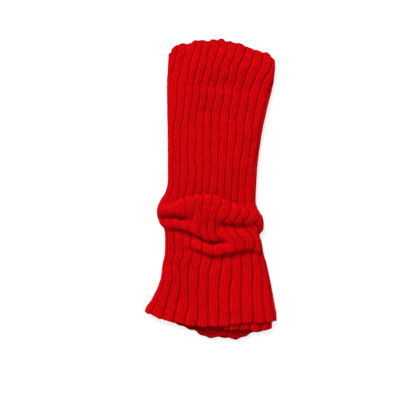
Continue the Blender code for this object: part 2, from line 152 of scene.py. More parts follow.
# %% The path of the cloth over the slouch
Bend = namedtuple("Bend", "line past height pull")
PARTS = dict.fromkeys(("lip", "dent", "tuck"), (-1.0, -0.66, -0.34, 0.15, 0.50, 1.0))
PARTS["end"] = (-1.0, -0.86, -0.14, 0.15, 0.50, 1.0)
OUTER_PATH = (
    Bend("lip", (-24, -24, -24), (0, 0, 0), 0.0),
    Bend("lip", (-10, -10, -10), (0, 0, 0), 0.0),
    Bend("lip", (-1.5, -1.5, -1.5), (0, 0, 0), 0.0),
    Bend("lip", (4.5, 4.5, 4.5), (0, 0, 0), 0.0),
    Bend("lip", (6.3, 6.3, 6.3), (4.0, 4.0, 4.0), 0.0),
    Bend("lip", (2.0, 2.0, 2.0), (8.3, 8.6, 8.3), 0.1),
    Bend("lip", (3.0, 4.0, 3.0), (12.8, 14.0, 12.8), 0.25),
    Bend("dent", (-9.0, -20.0, -9.0), (14.4, 15.4, 14.4), 0.5),
    Bend("dent", (-2.6, -10.0, -2.6), (12.3, 14.4, 12.3), 0.85),
    Bend("dent", (-3.4, -2.0, -3.4), (7.0, 13.4, 8.5), 1.0),
    Bend("dent", (-3.0, 2.5, -3.0), (2.0, 12.5, 5.5), 1.0),
    Bend("dent", (3.0, 6.5, 3.0), (2.0, 11.8, 5.5), 1.0),
    Bend("dent", (3.6, 10.5, 3.6), (7.0, 11.3, 8.5), 0.95),
    Bend("tuck", (-6.2, -4.8, -6.5), (10.5, 11.1, 10.5), 0.8),
    Bend("tuck", (-1.2, -1.0, -2.5), (9.0, 9.3, 10.6), 0.6),
    Bend("tuck", (-4.0, -3.2, 0.5), (4.2, 5.2, 10.2), 0.45),
    Bend("tuck", (-1.5, -1.6, 3.0), (0.0, 1.0, 10.0), 0.35),
    Bend("end", (-9.5, -12.0, -9.3), (0.0, 1.0, 9.6), 0.25),
    Bend("end", (-5.5, -11.0, -7.4), (0.0, 7.6, 9.4), 0.15),
    Bend("end", (-1.0, -5.2, -4.6), (0.0, 9.4, 9.0), 0.1),
    Bend("end", (3.0, -1.2, -1.1), (0.0, 7.4, 7.2), 0.0),
    Bend("end", (7.0, -3.8, -3.4), (0.0, 3.6, 3.6), 0.0),
    Bend("end", (11.0, -1.0, -0.6), (0.0, 0.0, 0.0), 0.0),
    Bend("end", (15.0, 5.0, 5.0), (0, 0, 0), 0.0),
    Bend("end", (22.0, 16.0, 16.0), (0, 0, 0), 0.0),
)
INNER_PATH = (
    Bend("lip", (-6, -6, -6), (0, 0, 0), 0.0),
    Bend("lip", (9, 9, 9), (0, 0, 0), 0.0),
    Bend("dent", (0, 0, 0), (0, 0, 0), 0.0),
    Bend("tuck", (0, 0, 0), (0, 0, 0), 0.0),
    Bend("end", (4, 4, 4), (0, 0, 0), 0.0),
)
ABOVE_SLOUCH = (0.0, 0.3, 0.65)     # guide lines as shares of the way from the top hem
BELOW_SLOUCH = (0.35, 0.7, 1.0)     # and on down to the low hem
print(len(OUTER_PATH), "bends in the outer warmer's path")

# %% [markdown]
# ## The two warmers
#
# Both tubes use the same functions with different values. The inner one is a little thinner,
# runs straight through under the slouch and has hems of its own, which peep out at the top and
# hang out below, its back lower than its front.

# %% The two warmers
EDGE_OUT = 0.8             # the outer warmer's edges stand out this much, since stitches sink from there
SIDE_GAP = 2.2             # between the two warmers at the tube's left and right edges
INNER_HOLLOW = 2.0         # between the inner warmer's own front and back
Hems = namedtuple("Hems", "top_front top_back low_front low_back")
Warmer = namedtuple(
    "Warmer", "name inset floor hollow crown back turn path crease_at hems")
OUTER = Warmer(
    name="leg_warmer_outer",
    inset=CROWN - EDGE_OUT,
    floor=BACK_CLOTH,
    hollow=2 * LAYER_GAP + BACK_CLOTH + INNER_HOLLOW + CROWN - 2 * INNER_THINNER,
    crown=CROWN,
    back=BACK_CLOTH,
    turn=TURN,
    path=OUTER_PATH,
    crease_at=(0, 5, 10.5, 15, 20.5, 24),
    hems=Hems(
        top_front=(165.0, 167.8, 168.2, 167.6, 163.8, 158.4, 157.0),
        top_back=(165.0, 164.5, 164.5, 164.0, 160.0, 156.0, 157.0),
        low_front=(-140.5, -146.5, -153.0, -156.2, -153.2, -151.5, -150.8),
        low_back=(-140.5, -147.6, -154.8, -163.3, -162.2, -156.0, -150.8),
    ),
)
INNER = Warmer(
    name="leg_warmer_inner",
    inset=2 * CROWN - INNER_THINNER + SIDE_GAP,
    floor=OUTER.floor + LAYER_GAP + BACK_CLOTH - INNER_THINNER,
    hollow=INNER_HOLLOW,
    crown=CROWN - INNER_THINNER,
    back=BACK_CLOTH - INNER_THINNER,
    turn=STRAIGHT_TURN,
    path=INNER_PATH,
    crease_at=(0, 0.8, 2, 3, 3.9, 4),
    hems=Hems(
        top_front=(151.0, 165.5, 171.4, 172.2, 166.0, 154.8, 150.0),
        top_back=(151.0, 162.0, 167.5, 168.5, 163.0, 152.0, 150.0),
        low_front=(-137.0, -143.6, -149.5, -155.8, -160.4, -161.0, -160.0),
        low_back=(-137.0, -145.5, -157.5, -169.6, -170.8, -162.5, -160.0),
    ),
)
print("hollow inside the outer warmer, mm:", round(OUTER.hollow, 1))

# %% [markdown]
# ## Curves through the tables
#
# Blender's own curves could carry these values, but then every point would need a lookup in a
# curve object. A few lines of numpy give the same smooth result for a whole grid at once.

# %% Smooth curves
STEP = 1.0                 # step up the leg used to measure the outline's slope


def smooth(stations, values, at):
    """A cubic through the values at the stations: level where they turn, so it never overshoots."""
    stations = np.asarray(stations, float)
    values = np.asarray(values, float)
    run = np.diff(stations)
    rise = np.diff(values) / run
    slope = np.concatenate(([rise[0]], np.zeros(len(rise) - 1), [rise[-1]]))
    before, after = rise[:-1], rise[1:]
    same_way = before * after > 0
    weight_a, weight_b = 2 * run[1:] + run[:-1], run[1:] + 2 * run[:-1]
    safe_before = np.where(same_way, before, 1.0)
    safe_after = np.where(same_way, after, 1.0)
    mean = (weight_a + weight_b) / (weight_a / safe_before + weight_b / safe_after)
    slope[1:-1] = np.where(same_way, mean, 0.0)
    k = np.clip(np.searchsorted(stations, at) - 1, 0, len(run) - 1)
    t = np.clip((at - stations[k]) / run[k], 0.0, 1.0)
    return (values[k] * (1 + 2 * t) * (1 - t) ** 2 + values[k + 1] * t * t * (3 - 2 * t)
            + slope[k] * run[k] * t * (1 - t) ** 2 - slope[k + 1] * run[k] * t * t * (1 - t))


def by_height(table, height, column=1):
    """One column of a table at any height up the leg, which is the table's first column."""
    rows = sorted(table)
    return smooth([row[0] for row in rows], [row[column] for row in rows], height)


def inside_edge(side, height, inset):
    """The outline's edge moved in by an inset square to it: inset times root(1 + slant squared)."""
    above = by_height(OUTLINE, height + STEP, side)
    below = by_height(OUTLINE, height - STEP, side)
    slant = (above - below) / (2 * STEP)
    return by_height(OUTLINE, height, side) + inset * np.hypot(1.0, slant)


def hump(distance):
    """A soft hill: 1 in the middle, 0 at distance 1, as (1 - distance squared) squared."""
    return np.clip(1.0 - distance ** 2, 0.0, None) ** 2


print("width at the top, mm:", by_height(OUTLINE, 150.0, RIGHT) - by_height(OUTLINE, 150.0, LEFT))

# %% [markdown]
# ## The path of the cloth, hem to hem
#
# The tables give guide lines that run across the tube: each has a height up the leg, a rise off
# the layer below and a sideways pull. Near the left and right edges the lines even out, because
# there the cloth turns over to the back and has no room to fold.

# %% Guide lines
TOP_CORNER = 9.0           # how far the top hems round off at their two corners
LOW_CORNER = 0.6           # and the low hems
CORNER_POWER = 16          # how close to the edges that rounding stays
FOLD_POWER = 4             # how close to the edges the folds of the slouch keep their height


def between(values, places, at):
    """The value at one place on a straight run between two known places."""
    k = max(i for i in range(len(places) - 1) if places[i] <= at)
    share = (at - places[k]) / (places[k + 1] - places[k])
    return values[k] + (values[k + 1] - values[k]) * share


def guide_lines(warmer, across, front):
    """Height up the leg, rise of the cloth and sideways pull of each guide line, hem to hem.

    A line's height up the leg is its crease less the way past it. It blends into evenly spaced
    lines towards the edges, by across to the power FOLD_POWER, and its rise fades by the root.
    """
    top, low = (
        (warmer.hems.top_front, warmer.hems.low_front) if front
        else (warmer.hems.top_back, warmer.hems.low_back))
    corner = np.abs(across) ** CORNER_POWER
    top = smooth(ACROSS, top, across) - TOP_CORNER * corner
    low = smooth(ACROSS, low, across) + LOW_CORNER * corner
    lean = np.clip(1.0 - across ** FOLD_POWER, 0.0, 1.0)
    rise = np.sqrt(lean)

    def from_parts(bend, values):
        left, middle, right = values
        return smooth(PARTS[bend.line], (left, left, middle, middle, right, right), across)

    def on_path(bend):
        return smooth(ACROSS, getattr(SLOUCH, bend.line), across) - from_parts(bend, bend.past)

    start, stop = on_path(warmer.path[0]), on_path(warmer.path[-1])
    creases = [start, *(smooth(ACROSS, line, across) for line in SLOUCH), stop]
    lines = []
    for share in ABOVE_SLOUCH:
        lines.append((top + (start - top) * share, 0.0 * across, 0.0 * across))
    for number, bend in enumerate(warmer.path):
        even = between(creases, warmer.crease_at, number)
        if front:
            up = lean * on_path(bend) + (1 - lean) * even
            pull = bend.pull * smooth(ACROSS, DENT_PULL, across)
            lines.append((up, rise * from_parts(bend, bend.height), pull))
        else:
            lines.append((even, 0.0 * across, 0.0 * across))
    for share in BELOW_SLOUCH:
        lines.append((stop + (low - stop) * share, 0.0 * across, 0.0 * across))
    return lines


def last_line(warmer):
    """The number of the guide line at the low hem. The top hem's is 0."""
    return len(ABOVE_SLOUCH) + len(warmer.path) - 1 + len(BELOW_SLOUCH)


print("guide lines on the outer warmer:", last_line(OUTER) + 1)

# %% [markdown]
# The cloth is a cubic B-spline over the guide lines. Such a spline only comes near its lines and
# doesn't touch them, so it is smooth and never turns sharper than cloth can. Straight runs from
# line to line, or a curve that goes through each one, would leave kinks in the folds.

# %% The spline over the guide lines


def spline_weight(t):
    """The share that a point takes from a guide line t lines away: the cubic B-spline's weight."""
    t = np.abs(t)
    return np.where(t < 1, 2 / 3 - t * t + t ** 3 / 2, np.where(t < 2, (2 - t) ** 3 / 6, 0.0))


def over_lines(lines, along):
    """Blend the guide lines at a place along the cloth, with both ends kept on their hems."""
    first = [2 * a - b for a, b in zip(lines[0], lines[1])]
    last = [2 * a - b for a, b in zip(lines[-1], lines[-2])]
    total = [0.0, 0.0, 0.0]
    for number, line in enumerate([first, *lines, last]):
        weight = spline_weight(along - (number - 1))
        total = [value + weight * part for value, part in zip(total, line)]
    return total


print("shares from the lines 0, 1 and 2 away:", spline_weight(np.array([0, 1, 2])).round(2))

# %% [markdown]
# ## Uneven
#
# Knit that has been worn and laid down is never flat. The front lies in soft ridges of uneven
# length and height, such as the doubled band below the top hem, each with its own slope above and
# below. They only rise, because the layer beneath leaves the cloth no room to sink. The inner
# warmer's back has small crumples of its own where it hangs out below the front.

# %% Soft ridges
RIDGE_END = 18.0           # how far a ridge runs out past each end of its line
Ridge = namedtuple("Ridge", "x1 y1 x2 y2 above below height")
RIDGES = (
    Ridge(-16, 142, 66, 136, 34, 22, 2.9),
    Ridge(-30, 136, -16, 142, 30, 20, 1.5),
    Ridge(-20, 112, 62, 107, 5, 11, 1.2),
    Ridge(-16, 101, -6, 101, 8, 12, 0.9),
    Ridge(28, 102, 46, 98, 9, 16, 1.3),
    Ridge(-3, 80, 47, 62, 10, 13, 1.5),
    Ridge(-30, 60, 20, 58, 9, 13, 0.9),
    Ridge(2, 36, 30, 20, 12, 9, 0.8),
    Ridge(-45, 62, -42, 24, 7, 9, 0.6),
    Ridge(-36, 6, -20, 14, 9, 9, 0.7),
    Ridge(-40, -86, 46, -88, 20, 60, 2.0),
    Ridge(-44, -92, -50, -112, 7, 8, 0.9),
    Ridge(-58, -104, -64, -122, 7, 7, 0.9),
    Ridge(-30, -88, -26, -118, 9, 9, 0.7),
    Ridge(50, -92, 58, -124, 8, 8, 0.9),
    Ridge(8, -96, 12, -130, 9, 9, 0.6),
    Ridge(-60, -134, -26, -146, 9, 6, 0.8),
    Ridge(20, -138, 54, -136, 12, 7, 0.8),
)
CRUMPLES = (
    Ridge(-32, -151.5, -12, -158, 2.4, 2.6, 1.0),
    Ridge(-12, -158.6, 30, -157.2, 2.2, 2.4, 1.2),
    Ridge(-4, -163.2, 14, -164.4, 2.2, 2.2, 1.1),
    Ridge(10, -167.6, 32, -163.8, 2.0, 2.2, 1.1),
    Ridge(34, -159.8, 46, -157.4, 2.2, 2.4, 0.9),
)


def ridge_height(x, y, ridges):
    """Lift of the cloth: each ridge's height times a soft hill of the distance from its line."""
    total = 0.0 * x
    for ridge in ridges:
        run = np.array([ridge.x2 - ridge.x1, ridge.y2 - ridge.y1], float)
        length = np.hypot(*run)
        on_line = ((x - ridge.x1) * run[0] + (y - ridge.y1) * run[1]) / length
        beyond = np.clip(np.abs(on_line - length / 2) - length / 2, 0.0, None)
        aside = ((y - ridge.y1) * run[0] - (x - ridge.x1) * run[1]) / length
        reach = np.where(aside > 0, ridge.above, ridge.below)
        total = np.maximum(total, ridge.height * hump(np.hypot(aside / reach, beyond / RIDGE_END)))
    return total


print(len(RIDGES), "ridges and", len(CRUMPLES), "crumples")

# %% [markdown]
# ## The tube
#
# Cut across, a tube that lies flat is a ring with two long straight sides and round ends. A
# cylinder could be squashed in Blender, but its points would bunch up at the edges. Here a place
# is a share of the way round the ring, so the ribs stay evenly wide as they go over the edges.

# %% The tube cut across


def tube_section(around, width, height, cloth):
    """A flattened ring with round ends, at shares of the way round it from its left edge.

    Gives the place across as a share of the half width, the height above the lowest point, and
    whether it is on the front. The way round is measured on the outside of the cloth.
    """
    radius = height / 2
    reach = radius + cloth
    quarter = np.pi * reach / 2
    flat = width - height
    girth = 2 * flat + 4 * quarter
    travelled = (around % 1.0) * girth
    front = travelled < girth / 2
    travelled = np.where(front, travelled, girth - travelled)
    left = np.clip(travelled / reach, 0, np.pi / 2)
    right = np.clip((travelled - quarter - flat) / reach, 0, np.pi / 2)
    across = (radius * (1 - np.cos(left)) + np.clip(travelled - quarter, 0, flat)
              + radius * np.sin(right))
    lift = radius * (np.sin(left) - (1 - np.cos(right)))
    share = 2 * across / width - 1
    return share, radius + np.where(front, lift, -lift), front


print("an eighth of the way round is at", tube_section(0.125, 120.0, 8.0, CROWN)[0].round(2),
      "of the half width")

# %% [markdown]
# Knitted ribs run straight down the leg, but a tube that was pulled on and laid down never does.
# So each rib is turned a little round the leg, by the table above, and jogs to either side in two
# small waves. Each wave is shifted by whole turns on its way round, so it closes on itself.

# %% Where the ribs run
Wave = namedtuple("Wave", "length turns shift size")
JOGS = (Wave(41, 9, 0.0, 0.032), Wave(17, -11, 0.3, 0.0192))    # sideways, in ribs


def waves(shape, up, ribs_round):
    """A sum of sine waves of the way up, each shifted by whole turns on its way round the tube."""
    return sum(
        wave.size * np.sin(
            2 * np.pi * (up / wave.length + wave.turns * ribs_round / RIBS + wave.shift))
        for wave in shape)


def edge_heights(warmer, along):
    """How far up the leg the tube's left and right edges are at places along the cloth."""
    lines = guide_lines(warmer, np.array([-1.0, 1.0]), True)
    return [over_lines([[part[side] for part in line] for line in lines], along)[0]
            for side in (0, 1)]


def turn_of_ribs(turn, ribs_round, up):
    """How far the knit has turned round the leg there: straight from each of five ribs to the next."""
    total = 0.0
    for number, one in enumerate(np.eye(len(TURNED_RIBS))):
        share = np.interp(ribs_round, TURNED_RIBS, one, period=RIBS)
        total = total + share * by_height(turn, up, 1 + number)
    return total


def rib_places(warmer, along, ribs_round):
    """Where each rib runs, as a share of the way round: its number less its turn, over all ribs."""
    up = sum(edge_heights(warmer, along)) / 2
    turned = turn_of_ribs(warmer.turn, ribs_round, up) + waves(JOGS, up, ribs_round)
    return (ribs_round - turned) / RIBS


print("rib 6 at the slouch is", rib_places(OUTER, np.array([15.0]), 6.0).round(3), "of the way round")

# %% [markdown]
# With the section and the guide lines in place, a point of the cloth is a sum of simple parts. Its
# slopes are measured by a small step along the cloth and one round it, which works for any shape.
# They give the direction straight out of the cloth, in which ribs and stitches will stand up.

# %% A point on the inside of the cloth
TINY = 1e-3                # step along the cloth used to measure its slope
FRONT_SWELL = 1.5          # how much the front rises from the edges to the middle


def inside_of_cloth(warmer, along, around):
    """Points on the inside of the tube, at places along it and shares of the way round it.

    Across is the middle of the two edges, a share of the half width and the dent's pull. Up the
    leg is the guide lines' height. The height is the floor, the section's lift, the folds' rise,
    and the soft swell and ridges, which fade towards the edges.
    """
    left_up, right_up = edge_heights(warmer, along)
    left = inside_edge(LEFT, left_up, warmer.inset)
    right = inside_edge(RIGHT, right_up, -warmer.inset)
    share, lift, front = tube_section(around, right - left, warmer.hollow, warmer.crown)
    front_up, rise, pull = over_lines(guide_lines(warmer, share, True), along)
    back_up = over_lines(guide_lines(warmer, share, False), along)[0]
    across = (left + right) / 2 + share * (right - left) / 2
    swell = FRONT_SWELL * (1 - share ** 2) ** 2
    x = across + np.where(front, pull, 0.0)
    y = np.where(front, front_up, back_up)
    swell = swell + (1 - share ** 2) * ridge_height(x, y, RIDGES)
    crumple = ridge_height(x, y, CRUMPLES) if warmer is INNER else 0.0
    z = warmer.floor + lift + np.where(front, rise + swell, crumple)
    return np.stack([x, y, z], axis=-1)


def slopes(warmer, along, around):
    """Unit directions down the cloth and straight out of it: two small steps, and what they span."""
    ahead = inside_of_cloth(warmer, along + TINY, around)
    behind = inside_of_cloth(warmer, along - TINY, around)
    right = inside_of_cloth(warmer, along, around + TINY / RIBS)
    left = inside_of_cloth(warmer, along, around - TINY / RIBS)
    down = ahead - behind
    out = np.cross(right - left, -down)
    return (down / np.linalg.norm(down, axis=-1, keepdims=True),
            out / np.linalg.norm(out, axis=-1, keepdims=True))


middle = inside_of_cloth(OUTER, np.array([[15.0]]), np.array([[0.25]]))
print("a point in the middle of the slouch, mm:", middle.round(1).ravel())

# %% [markdown]
# ## Rows of stitches
#
# Every row of stitches is as tall as the next, whatever the cloth does. So the length of the
# front is measured along the path first, and the rows are then set out evenly on it. Two rows of
# points stand for one row of stitches, which is the fewest that can show its zigzag.

# %% Rows of stitches
FINE_STEPS = 3000          # steps used to measure the path's length
MEASURED = (0.08, 0.42)    # on the front only, between these shares of the way round
MEASURED_LINES = 9         # and on this many lines, whose mean is taken
POINTS_A_STITCH = 2


def stitch_rows(warmer):
    """Places of the rows along the cloth, evenly spaced by length, how many stitches, and how long."""
    fine = np.linspace(0.0, last_line(warmer), FINE_STEPS)[:, None]
    columns = np.linspace(*MEASURED, MEASURED_LINES)[None, :]
    path = inside_of_cloth(warmer, fine, columns)
    steps = np.linalg.norm(np.diff(path, axis=0), axis=-1).mean(axis=1)
    length = np.concatenate([[0.0], np.cumsum(steps)])
    stitches = int(round(length[-1] / STITCH))
    rows = np.linspace(0.0, length[-1], POINTS_A_STITCH * stitches + 1)
    return np.interp(rows, length, fine[:, 0]), stitches, length[-1]


outer_rows, outer_stitches, outer_length = stitch_rows(OUTER)
inner_rows, inner_stitches, inner_length = stitch_rows(INNER)
print("outer:", outer_stitches, "rows of stitches over", round(outer_length), "mm of cloth")
print("inner:", inner_stitches, "rows of stitches over", round(inner_length), "mm of cloth")

# %% [markdown]
# ## Ribs and grooves
#
# Each rib is a round crown with steep sides, and the groove between two ribs hides the purl
# column. No groove in hand-laid knit is as deep as the next, so two waves vary them. Where the
# cloth is pulled over a fold, the ribs spread and the grooves open up: that is why the dome of
# the slouch looks smoother than the leg. A few soft round patches say where.

# %% Ribs and grooves
COLUMN_UNITS = WALES + 1   # knit columns and one purl column in one rib's width of stitches
CROWN_POWER = 3.2          # how flat a rib is on top, and how narrow the grooves are
GROOVE_DEPTH = 1.65        # how far a groove sinks below the ribs beside it
GROOVE_WAVES = (Wave(37, 7, 0.0, 0.18), Wave(13.5, -12, 0.0, 0.12))    # shares of that depth
Stretch = namedtuple("Stretch", "x y across up opened")
STRETCHED = (
    Stretch(-40, -20, 30, 20, 0.9),
    Stretch(2, -26, 38, 22, 0.5),
    Stretch(-40, -42, 38, 14, 0.85),
    Stretch(10, -67, 44, 14, 0.55),
)


def stitch_columns(ribs_round):
    """Which stitch column a place is in. Knit columns are 0 to 3 of each 4, and purl is 3 to 4."""
    rib = np.floor(ribs_round)
    place = ribs_round - rib
    knit = (place - PURL) / (1 - 2 * PURL) * WALES
    before = (place - PURL) / (2 * PURL)
    after = WALES + (place - 1 + PURL) / (2 * PURL)
    inside = np.where(place < PURL, before, np.where(place > 1 - PURL, after, knit))
    return COLUMN_UNITS * rib + inside


def crown_height(ribs_round):
    """From 0 in a groove to 1 on a rib's crown: 1 minus a power of the way still to go."""
    to_groove = np.abs((ribs_round + 0.5) % 1.0 - 0.5)
    return 1.0 - (1.0 - 2.0 * to_groove) ** CROWN_POWER


def groove_depth(ribs_round, rows):
    """Depth of the grooves, varied by waves along each groove and from one to the next."""
    return GROOVE_DEPTH * (1 + waves(GROOVE_WAVES, rows * STITCH, ribs_round))


def opened(points):
    """The share of its depth that a groove keeps: 1 less a soft hill over each stretched patch."""
    x, y = points[..., 0], points[..., 1]
    front = np.where(points[..., 2] > INNER.floor, 1.0, 0.0)
    lost = 0.0 * x
    for one in STRETCHED:
        distance = np.hypot((x - one.x) / one.across, (y - one.y) / one.up)
        lost = np.maximum(lost, one.opened * hump(distance))
    return 1 - front * lost


print("on the left lobe a groove keeps", opened(np.array([-40.0, -20.0, 20.0])).round(2),
      "of its", GROOVE_DEPTH, "mm")

# %% [markdown]
# ## Single stitches
#
# On a rib, three knit columns are parted by shallow valleys, and each column is a stack of V
# shapes, whose legs climb outwards from its middle. The relief only goes down from the crown, so
# the knit never pushes through the layer that lies on it.
#
# The V is a wave: its phase is the row number plus the distance from the column's middle. The
# same formula is used later in the material, so the fine bump sits exactly on the coarse relief.

# %% Single stitches
COLUMN_VALLEY = 0.70       # depth of the valley between two knit columns
COLUMN_MIDDLE = 0.08       # depth of the fine line down the middle of a column
LEG = 0.34                 # how far the legs of the V stand up
PURL_BUMP = 0.25           # how far the purl bumps stand up in a groove


def stitch_relief(columns, rows):
    """Depth of the stitches below an even crown: valleys between columns, and V-shaped legs."""
    purl = columns % COLUMN_UNITS > WALES
    across = np.abs(2 * (columns % 1.0) - 1)
    valley = COLUMN_VALLEY * np.clip(2 * across - 1, 0.0, 1.0) ** 2
    centre = COLUMN_MIDDLE * np.clip(1 - 2 * across, 0.0, 1.0)
    legs = LEG * (0.5 - 0.5 * np.cos(2 * np.pi * (rows + across)))
    knit = valley + centre + legs
    bumps = PURL_BUMP * (0.5 - 0.5 * np.cos(2 * np.pi * rows)) * (1 - across)
    return np.where(purl, bumps, knit)


print("depth on a crown, mm:", stitch_relief(np.array([1.0, 1.25, 1.5]), 0.0).round(2))

# %% [markdown]
# ## How close the points stand
#
# Two rows of points stand for a row of stitches, and thirteen points for a rib. The outer warmer
# has that all over. Only the hems of the inner one and of the wrong sides show, so they are fine
# next to the hems and thinned out further in, where the stitches in relief fade away with them.
# Decimating a mesh that is fine everywhere would be simpler, but it would spoil the rows.

# %% How close the points stand
KNIT_POINTS = 12             # cells across the three knit columns of a rib
PLAIN_RIBS = range(15, 24)   # ribs that stay on the pressed back over the whole length
PLAIN_PLACES = (0.0, PURL, 0.363, 0.637, 1 - PURL)    # and the places of their few columns
FADE_ROWS = 8.0              # rows of points over which the stitches fade away
Grid = namedtuple("Grid", "dense every inside_dense inside_every wrong_places wave")
GRIDS = {
    # rows kept next to a hem, every which one between, the same for the wrong side, the wrong
    # side's places in a rib, and the height of the hem's long waves in mm
    OUTER.name: Grid(
        dense=1000, every=1, inside_dense=14, inside_every=3,
        wrong_places=(0.0, 0.2, 0.5, 0.8), wave=0.4),
    INNER.name: Grid(
        dense=44, every=4, inside_dense=28, inside_every=4,
        wrong_places=(0.0, 0.09, 0.181, 0.272, 0.363, 0.454, 0.546, 0.637, 0.728, 0.819, 0.91),
        wave=0.8),
}


def kept_rows(count, dense, every):
    """All rows next to each hem, and only some of the rows between."""
    return np.unique(np.concatenate([
        np.arange(min(dense, count)), np.arange(0, count, every),
        np.arange(max(count - dense, 0), count)]))


def in_detail(rows, stitches, dense):
    """1 where the rows stand close enough for stitches, fading to 0 where they are thinned out."""
    to_hem = np.minimum(rows, stitches - rows) * POINTS_A_STITCH
    return np.clip((dense - to_hem) / FADE_ROWS, 0.0, 1.0)


def outside_columns():
    """Places of the columns in ribs round the tube: fine ones, and few on the pressed back."""
    fine = np.concatenate([[0.0], PURL + (1 - 2 * PURL) * np.linspace(0, 1, KNIT_POINTS + 1)])
    plain = np.array(PLAIN_PLACES)
    return np.concatenate([rib + (plain if rib in PLAIN_RIBS else fine) for rib in range(RIBS)])


print("columns of points round the outside:", len(outside_columns()))

# %% [markdown]
# ## Hems
#
# The first and the last row of a knit is a chain of loops, one for each column. It stands out
# where a rib ends, draws back at each groove and waves a little all the way round. The rows next
# to it move along, less and less further in, so that no stitch is torn.

# %% Hems
RIM_OUT = 0.7              # how far the rim stands past the hem
RIM_SHARE = 0.45           # and where it lies in the cloth's thickness
SCALLOP = 0.75             # how far each rib's end stands past the grooves beside it
LOOP = 0.45                # and each knit column's end past the valleys beside it
HEM_REACH = 5.0            # how far from the hem the scallops fade out
LONG_WAVES = (9, 21)       # how many of a hem's long waves go all round
LONG_REACH = 14.0          # and how far from the hem they fade out
LONG_START = 0.9           # where round the hem the first of them starts, in radians
LONG_SECOND = 0.9          # and how high the second is for each of the first


def hem_shift(warmer, ribs_round, rows, stitches):
    """How far the knit stands past its hem: scallops and loops, plus the two long waves.

    Each part fades with the square of 1 less the way from the hem over its reach.
    """
    columns = stitch_columns(ribs_round)
    loops = SCALLOP * (crown_height(ribs_round) - 0.5) + LOOP * np.cos(2 * np.pi * (columns + 0.5))
    few, many = (2 * np.pi * count * ribs_round / RIBS for count in LONG_WAVES)
    long_waves = GRIDS[warmer.name].wave * (np.sin(few + LONG_START) + LONG_SECOND * np.sin(many))

    def fade(reach):
        top = np.clip(1 - rows * STITCH / reach, 0, 1)
        low = np.clip(1 - (stitches - rows) * STITCH / reach, 0, 1)
        return low ** 2 - top ** 2

    return loops * fade(HEM_REACH) + long_waves * fade(LONG_REACH)


print("a rib's crown stands past the low hem by, mm:", hem_shift(OUTER, 0.5, 100.0, 100.0).round(2))

# %% [markdown]
# ## The right side and the wrong side
#
# The right side is the inside moved straight out by the cloth's thickness, less the relief of ribs
# and stitches. The wrong side shows the backs of the same stitches, so it sinks a little behind
# each rib and has rows of purl bumps of its own. A Displace modifier could do this too, but it
# would need a picture of the knit, and here the relief is a formula that stays in the mesh itself.
# No stitch is quite like the next, so numbers drawn from a fixed seed change them a little.

# %% The right side and the wrong side
PRESSED = (0.3, 0.8)       # how far down cloth faces where it starts to be pressed, and is quite
BACK_GROOVE_DEPTH = 0.8    # a groove on the pressed back
UNEVEN = 0.09              # how much one stitch differs from the next
THINNEST = 0.75            # the cloth is at least this thick in a groove
INSIDE_DEPTH = 0.2         # how far the wrong side sinks behind each rib
WRONG_BUMP = 0.35          # and between its own rows of purl bumps
SEED = 7


def outside_grid(warmer, along, rows, stitches, ribs_round):
    """Points of the ribbed outside: the inside moved out by the cloth, less the relief."""
    around = rib_places(warmer, along, ribs_round)
    down, out = slopes(warmer, along, around)
    crown = crown_height(ribs_round)
    starts, done = PRESSED
    pressed = np.clip((-out[..., 2] - starts) / (done - starts), 0.0, 1.0)
    inside = inside_of_cloth(warmer, along, around)
    depth = groove_depth(ribs_round, rows) * opened(inside)
    depth = depth + (BACK_GROOVE_DEPTH - depth) * pressed
    uneven = np.random.default_rng(SEED).normal(
        0.0, UNEVEN, (stitches + 1, RIBS * COLUMN_UNITS))
    columns = stitch_columns(ribs_round)
    which = uneven[np.floor(rows).astype(int), np.floor(columns).astype(int) % uneven.shape[1]]
    detail = in_detail(rows, stitches, GRIDS[warmer.name].dense)
    relief = depth * (1 - crown) + detail * (stitch_relief(columns, rows) + np.abs(which))
    thickness = warmer.crown + (warmer.back - warmer.crown) * pressed - relief
    thickness = np.maximum(thickness, THINNEST)
    shift = hem_shift(warmer, ribs_round, rows, stitches)
    points = inside + out * thickness[..., None] + down * shift[..., None]
    rim = []
    for row, way in ((0, -1.0), (-1, 1.0)):
        half = inside[row] + out[row] * thickness[row][:, None] * RIM_SHARE
        rim.append(half + down[row] * (shift[row] + way * RIM_OUT)[:, None])
    return np.concatenate([rim[:1], points, rim[1:]])


def inside_grid(warmer, along, rows, stitches, ribs_round):
    """Points of the wrong side: the inside moved out behind each rib and between purl bumps."""
    around = rib_places(warmer, along, ribs_round)
    down, out = slopes(warmer, along, around)
    detail = in_detail(rows, stitches, GRIDS[warmer.name].inside_dense)
    columns = stitch_columns(ribs_round)
    across = np.abs(2 * (columns % 1.0) - 1)
    bumps = WRONG_BUMP * (0.5 - 0.5 * np.cos(2 * np.pi * (rows + 0.5 * across)))
    sink = INSIDE_DEPTH * crown_height(ribs_round) ** 2 + detail * bumps
    shift = hem_shift(warmer, ribs_round, rows, stitches)
    return (inside_of_cloth(warmer, along, around) + out * sink[..., None]
            + down * shift[..., None])


print("cloth from", THINNEST, "mm in the deepest groove to", CROWN, "mm on a crown")

# %% [markdown]
# ## Triangles
#
# A grid of points becomes a tube of four-sided cells, each cut into two triangles. Which way it is
# cut matters: along the leg of the V the stitch has a clean ridge, across it a row of teeth. At
# the hems two rings with different points meet, and a strip of triangles zips them together.

# %% Triangles


